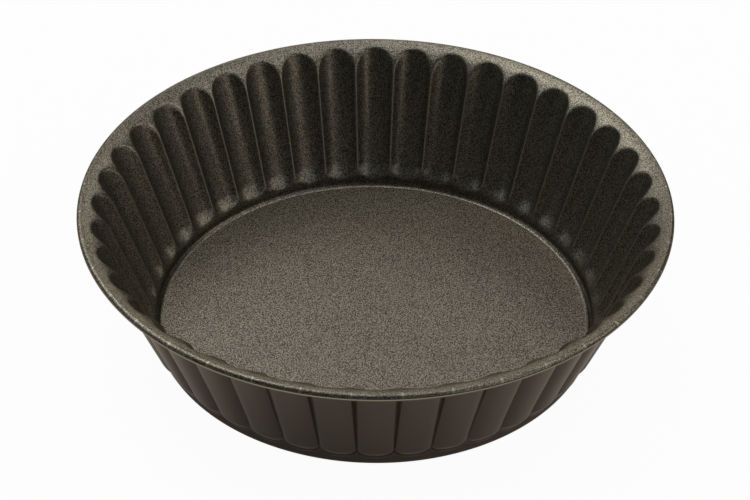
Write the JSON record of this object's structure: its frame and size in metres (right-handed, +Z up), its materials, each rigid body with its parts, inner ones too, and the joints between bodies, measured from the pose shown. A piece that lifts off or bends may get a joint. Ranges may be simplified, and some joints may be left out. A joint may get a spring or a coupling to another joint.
{
  "type": "fluted round cake pan",
  "caption": "Round fluted cake pan in dark coated steel: sloping scalloped wall, smooth flared collar, wire-curled rim, and a flat loose base that lifts out.",
  "frame": {"origin": "on the pan's axis, in the plane of its underside", "axes": "+Z up along the pan's axis; X and Y each run through the middles of two opposite flutes"},
  "size_m": [0.25, 0.25, 0.0635],
  "materials": {
    "ring_coating": "satin speckled dark brown-grey non-stick coating inside, smooth glossy dark brown lacquer outside",
    "wire_steel": "bare drawn steel wire, hidden in the curled rim",
    "base_coating": "satin speckled grey-brown non-stick coating"
  },
  "bodies": {
    "ring": {"fluted_ring": "ring_coating", "rim_wire": "wire_steel"},
    "base": {"loose_base": "base_coating"}
  },
  "joints": [
    {"name": "base_lift", "type": "slide", "parent": "ring", "child": "base", "axis": [0, 0, 1], "range_m": [0, 0.07]}
  ]
}
